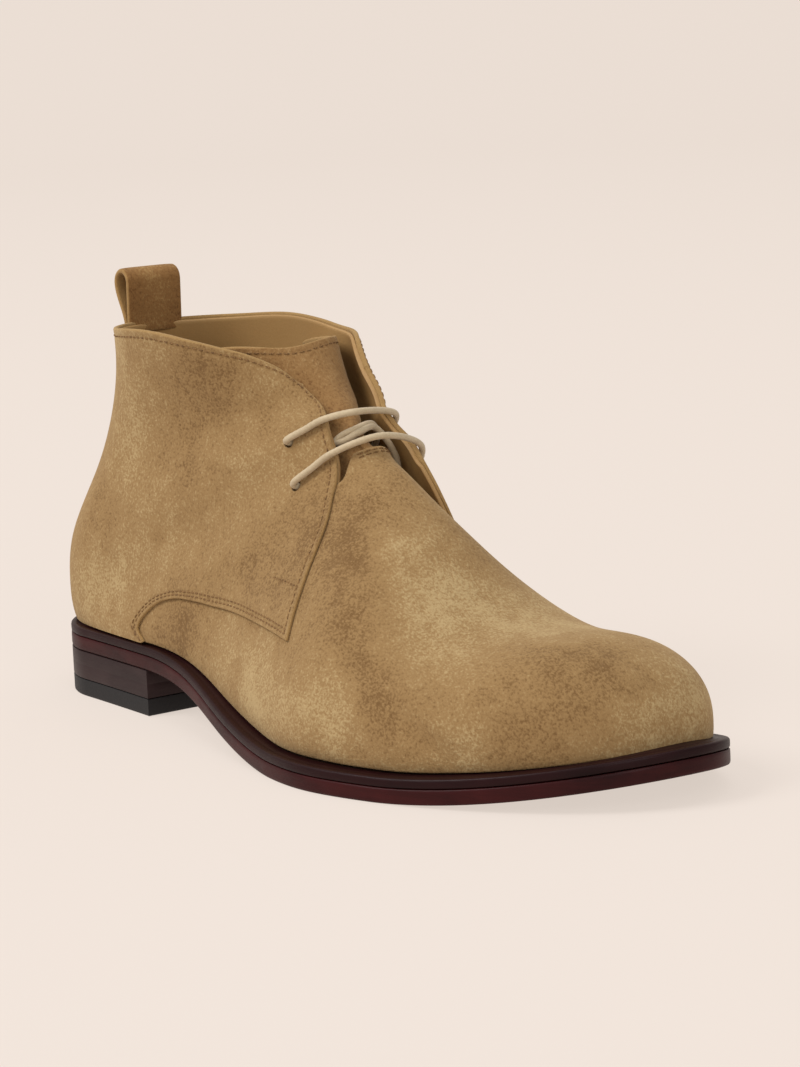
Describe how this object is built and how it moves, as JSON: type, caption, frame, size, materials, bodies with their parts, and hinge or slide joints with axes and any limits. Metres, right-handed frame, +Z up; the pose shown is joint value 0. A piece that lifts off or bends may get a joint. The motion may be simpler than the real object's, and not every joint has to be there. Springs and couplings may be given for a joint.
{
  "type": "chukka boot",
  "caption": "Right-foot ankle boot: hollow suede upper open at the collar and throat, tongue, laces and pull loop on a welted leather sole with a stacked heel.",
  "frame": {"origin": "middle of the boot's footprint (its bounding box) on the floor", "axes": "+X from the heel to the toe, +Y to the wearer's left, which is the inner side of this right boot, +Z up"},
  "size_m": [0.303, 0.1112, 0.1466],
  "materials": {
    "suede": "napped tan suede, matt",
    "insole_leather": "smooth natural leather",
    "sole_edge": "burnished dark oxblood leather",
    "heel_leather": "burnished dark stacked leather",
    "heel_rubber": "matt black",
    "lace_cord": "waxed round cord"
  },
  "bodies": {
    "root": {"upper": "suede", "tongue": "suede", "insole": "insole_leather", "welt": "sole_edge", "outsole": "sole_edge", "heel_stack": "heel_leather", "heel_top_piece": "heel_rubber", "pull_loop": "suede", "lace": "lace_cord"}
  },
  "joints": []
}
